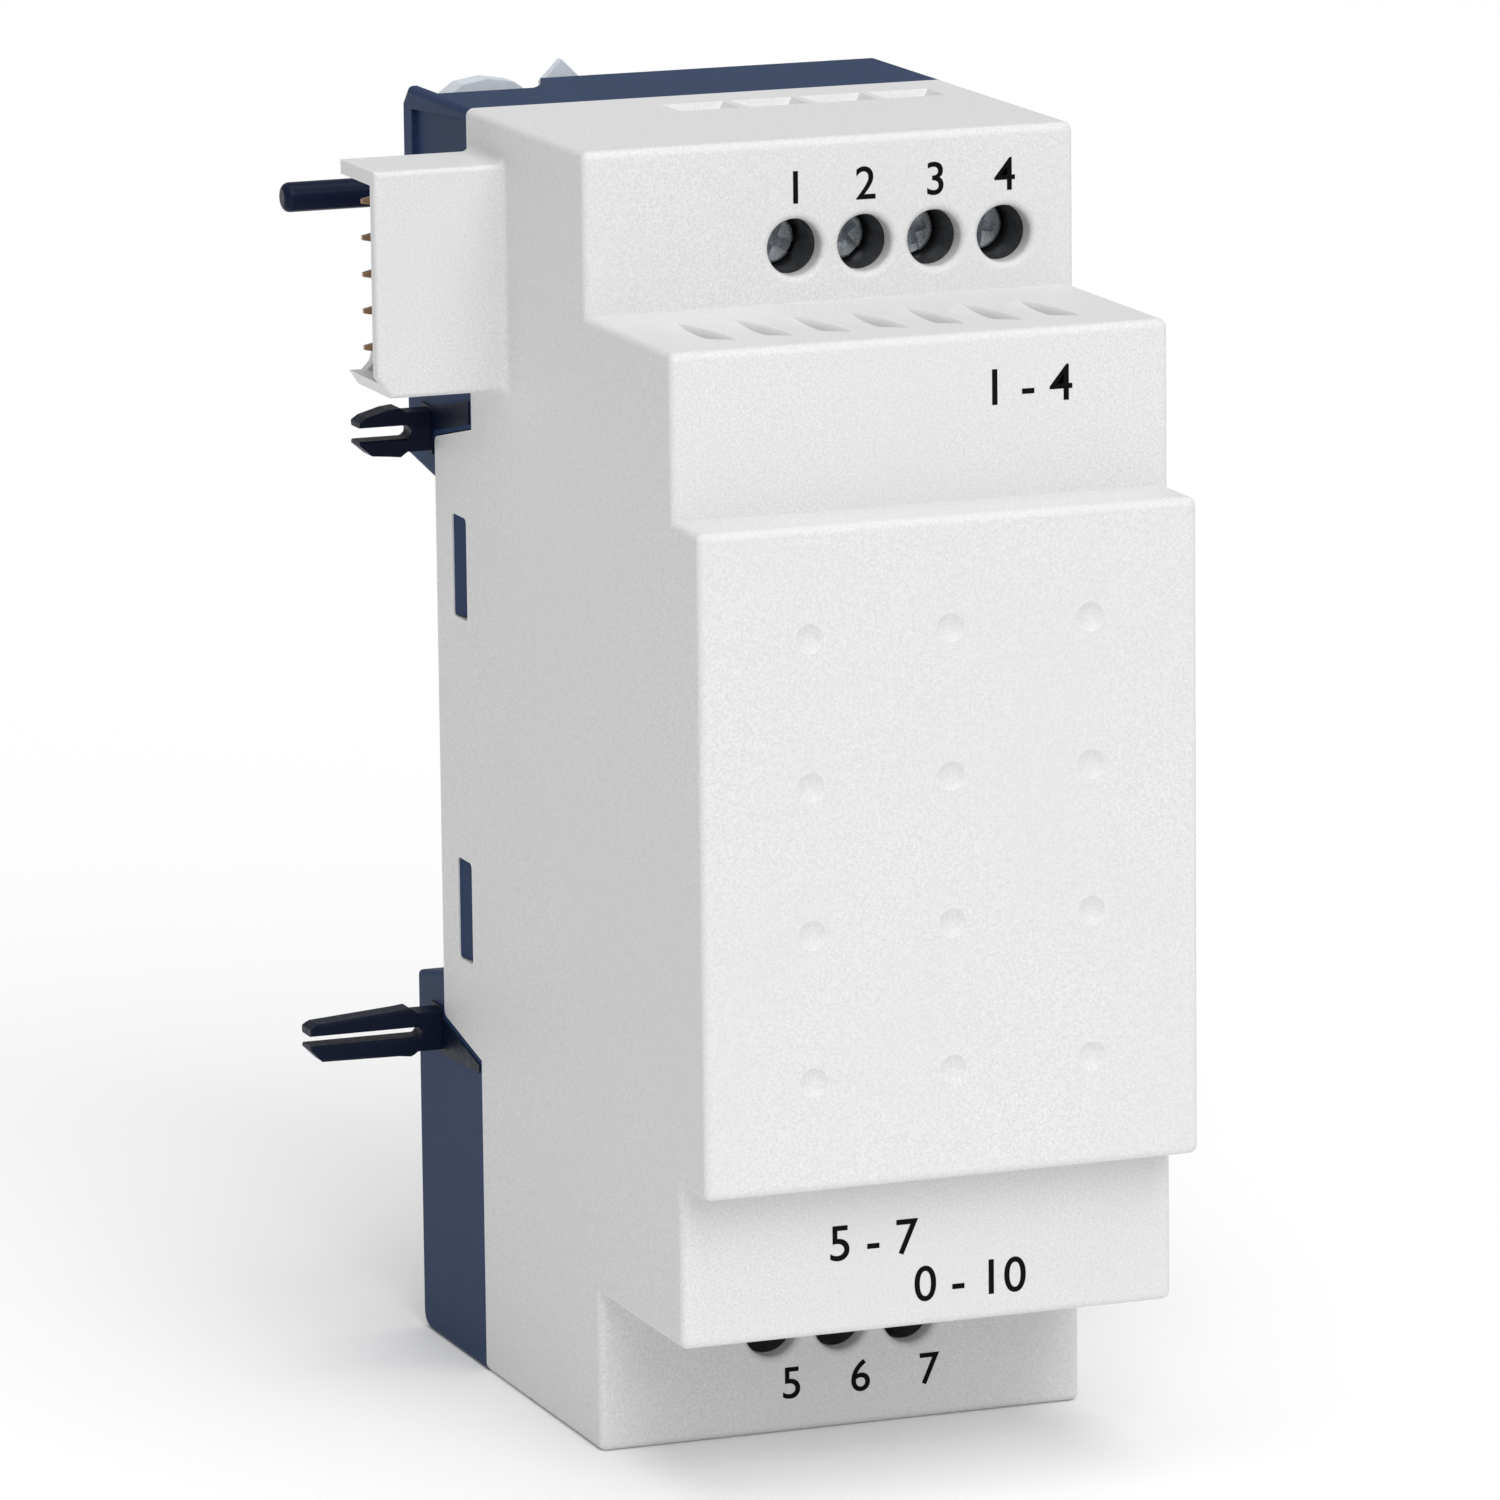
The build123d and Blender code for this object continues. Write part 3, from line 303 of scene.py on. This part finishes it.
finishes = {
    "housing_plastic": housing_plastic("housing_plastic", (0.70, 0.70, 0.70), 0.55),
    "base_plastic": base_plastic("base_plastic", (0.022, 0.043, 0.105), (0.008, 0.012, 0.032), 0.5),
    "clip_plastic": smooth_plastic("clip_plastic", (0.0045, 0.0075, 0.020), 0.42, edge_highlight=1.8, specular=0.1),
    "lug_plastic": grained_plastic("lug_plastic", (0.66, 0.70, 0.76), 0.45, contrast=0.06),
    "spring_steel": metal("spring_steel", (0.55, 0.55, 0.57), 0.3, brushed=(1, 1, 4)),
    "terminal_plastic": smooth_plastic("terminal_plastic", (0.045, 0.045, 0.048), 0.42),
    "contact_brass": metal("contact_brass", (0.72, 0.66, 0.52), 0.32, brushed=(1, 6, 1)),
    "contact_bronze": metal("contact_bronze", (0.42, 0.27, 0.17), 0.34, brushed=(6, 1, 1)),
    "connector_plastic": smooth_plastic("connector_plastic", (0.62, 0.62, 0.61), 0.45, edge_highlight=1.1),
    "board_laminate": board_laminate("board_laminate"),
    "header_plastic": smooth_plastic("header_plastic", (0.012, 0.012, 0.013), 0.4, edge_highlight=2.0),
    "chip_resin": grained_plastic(
        "chip_resin", (0.018, 0.018, 0.02), 0.6, grain=0.15 * MM, contrast=0.2, edge_highlight=1.8
    ),
    "resistor_ceramic": smooth_plastic("resistor_ceramic", (0.03, 0.03, 0.032), 0.3),
    "capacitor_ceramic": smooth_plastic("capacitor_ceramic", (0.32, 0.2, 0.1), 0.35),
    "capacitor_can": metal("capacitor_can", (0.6, 0.61, 0.64), 0.28, brushed=(1, 8, 1)),
    "ferrite": grained_plastic("ferrite", (0.03, 0.03, 0.032), 0.7, grain=0.3 * MM, contrast=0.25),
    "crystal_can": metal("crystal_can", (0.7, 0.7, 0.72), 0.25, brushed=(1, 1, 8)),
    "screw_steel": metal("screw_steel", (0.86, 0.93, 1.0), 0.3, stain=0.5, metallic=0.55),
    "cage_steel": metal("cage_steel", (0.52, 0.54, 0.58), 0.32, brushed=(1, 8, 1)),
}

for subpart in frame["record"]["subparts"]:
    node = frame["nodes"][subpart["node"]]
    node.data.materials.clear()
    node.data.materials.append(finishes[subpart["material_slot"]])

# ---------------------------------------------------------------- places taken from the frame
housing_low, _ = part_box("front_housing")
screw_boxes = [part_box(f"terminal_screw_{i}") for i in range(1, 8)]
screw_x = [(low.x + high.x) / 2 for low, high in screw_boxes]
screw_z = (screw_boxes[0][0].z + screw_boxes[0][1].z) / 2
terminal_face_y = -32.0 * MM
middle_face_y = -48.6 * MM

ink = printed_ink("print_black")
capital_height = 0.72  # of the built-in font, as a share of its size
print_half_thickness = 0.015 * MM
print_boldness = 0.02 * MM


def placed(name, data):
    """Puts a mesh, curve, light or camera in the scene as an object of its own."""
    piece = bpy.data.objects.new(name, data)
    bpy.context.collection.objects.link(piece)
    return piece


def printed(name, text, x, z, face_y, height):
    """Generic characters printed on a front face, centred at x and z, some hundredths of a mm thick."""
    curve = bpy.data.curves.new(name + "_curve", "FONT")
    curve.body = text
    curve.size = height / capital_height
    curve.align_x = "CENTER"
    curve.align_y = "CENTER"
    curve.extrude = print_half_thickness
    curve.offset = print_boldness
    maker = placed(name + "_maker", curve)
    bpy.context.view_layer.update()
    graph = bpy.context.evaluated_depsgraph_get()
    mesh = bpy.data.meshes.new_from_object(maker.evaluated_get(graph))
    bpy.data.objects.remove(maker)
    mesh.transform(Matrix.Translation((x, face_y, z)) @ Matrix.Rotation(math.radians(90), 4, "X"))
    mesh.materials.clear()
    mesh.materials.append(ink)
    piece = placed(name, mesh)
    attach(piece, "casing")


input_count = 4
label_height, caption_height = 2.3 * MM, 2.5 * MM
label_gap = 4.0 * MM
output_label_shift = 1.35 * MM
for number in range(7):
    above = number < input_count
    label_z = screw_z + label_gap if above else -screw_z - label_gap
    label_x = screw_x[number] if above else screw_x[number] + output_label_shift
    printed(f"print_number_{number + 1}", str(number + 1), label_x, label_z, terminal_face_y, label_height)
printed("print_inputs", "1 - 4", 7.6 * MM, 29.9 * MM, middle_face_y, caption_height)
printed("print_outputs", "5 - 7", -4.0 * MM, -27.6 * MM, middle_face_y, caption_height)
printed("print_range", "0 - 10", 3.0 * MM, -31.0 * MM, middle_face_y, caption_height)

# ---------------------------------------------------------------- the rail clip's spring
# it stands for the drawn one, because it has to shorten as the clip slides
spring_turns = 7
spring_wire_radius = 0.2 * MM
wire_sides, rings_per_turn = 12, 36


def coil_spring(name, low, high):
    """A coil of round wire as one closed mesh that fills the box, wound up +Z."""
    rings = spring_turns * rings_per_turn
    centre = (low + high) / 2
    radius = (high.x - low.x) / 2 - spring_wire_radius
    start_z = low.z + spring_wire_radius
    rise = high.z - low.z - 2 * spring_wire_radius
    climb = rise / (2 * math.pi * spring_turns * radius)
    points, faces = [], []
    for ring in range(rings + 1):
        angle = 2 * math.pi * spring_turns * ring / rings
        outward = Vector((math.cos(angle), math.sin(angle), 0))
        along = Vector((-outward.y, outward.x, climb)).normalized()
        upward = along.cross(outward)
        middle = Vector((centre.x, centre.y, start_z + rise * ring / rings)) + outward * radius
        for side in range(wire_sides):
            turn = 2 * math.pi * side / wire_sides
            spoke = outward * math.cos(turn) + upward * math.sin(turn)
            points.append(middle + spoke * spring_wire_radius)
    for ring in range(rings):
        for side in range(wire_sides):
            here = ring * wire_sides + side
            beside = ring * wire_sides + (side + 1) % wire_sides
            faces.append((here, beside, beside + wire_sides, here + wire_sides))
    faces.append(tuple(reversed(range(wire_sides))))
    faces.append(tuple(range(rings * wire_sides, (rings + 1) * wire_sides)))
    mesh = bpy.data.meshes.new(name)
    mesh.from_pydata(points, [], faces)
    mesh.polygons.foreach_set("use_smooth", [True] * len(faces))
    mesh.materials.append(finishes["spring_steel"])
    piece = placed(name, mesh)
    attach(piece, "casing")
    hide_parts("rail_clip_spring")
    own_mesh(piece)


coil_spring("clip_spring", *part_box("rail_clip_spring"))

# ---------------------------------------------------------------- floor, light and camera
floor_half = 3.0
floor_signs = ((-1, -1), (1, -1), (1, 1), (-1, 1))
floor_corners = [(x * floor_half, y * floor_half, housing_low.z) for x, y in floor_signs]
floor_mesh = bpy.data.meshes.new("floor")
floor_mesh.from_pydata(floor_corners, [], [(0, 1, 2, 3)])
floor = placed("floor", floor_mesh)
paper = Shader("floor_paper")
clouds = paper.ranged(paper.noise(0.4), 0.0, 1.0)
paper.set(Base_Color=paper.mixed(clouds, (0.95, 0.95, 0.95), (0.965, 0.965, 0.965)))
paper.set(Roughness=0.9, Specular_IOR_Level=0.1)
floor_mesh.materials.append(paper.material)

world = bpy.data.worlds.new("studio")
bpy.context.scene.world = world
world.use_nodes = True
background = world.node_tree.nodes["Background"]
background.inputs["Color"].default_value = (1.0, 1.0, 1.0, 1.0)
background.inputs["Strength"].default_value = 0.44


def towards(azimuth, elevation):
    """A unit vector; azimuth 0 is straight in front of the object, and positive to the right."""
    a, e = math.radians(azimuth), math.radians(elevation)
    return Vector((math.sin(a) * math.cos(e), -math.cos(a) * math.cos(e), math.sin(e)))


def sun(name, azimuth, elevation, spread, strength):
    """A wide sun shining from a direction; strength 1 lights white to white."""
    light = bpy.data.lights.new(name, "SUN")
    light.angle = math.radians(spread)
    light.energy = math.pi * strength
    lamp = placed(name, light)
    lamp.rotation_mode = "QUATERNION"
    lamp.rotation_quaternion = towards(azimuth, elevation).to_track_quat("Z", "Y")


sun("key_light", azimuth=-2, elevation=36, spread=40, strength=0.46)
sun("top_light", azimuth=10, elevation=80, spread=50, strength=0.36)

# the angle and distance that the object is seen from
view_azimuth, view_elevation, view_roll = -20.4, 11.35, -0.65
view_distance = 712.0 * MM
view_target = Vector((-3.3, -24.0, 1.58)) * MM

lens = bpy.data.cameras.new("camera")
lens.lens = 247.8
lens.sensor_width = 36.0
lens.clip_start, lens.clip_end = 0.01, 20.0
camera = placed("camera", lens)
backward = towards(view_azimuth, view_elevation)
camera.location = view_target + backward * view_distance
camera.rotation_mode = "QUATERNION"
level = backward.to_track_quat("Z", "Y")
camera.rotation_quaternion = level @ Quaternion((0, 0, 1), math.radians(view_roll))
bpy.context.scene.camera = camera
bpy.context.scene.view_settings.view_transform = "Standard"
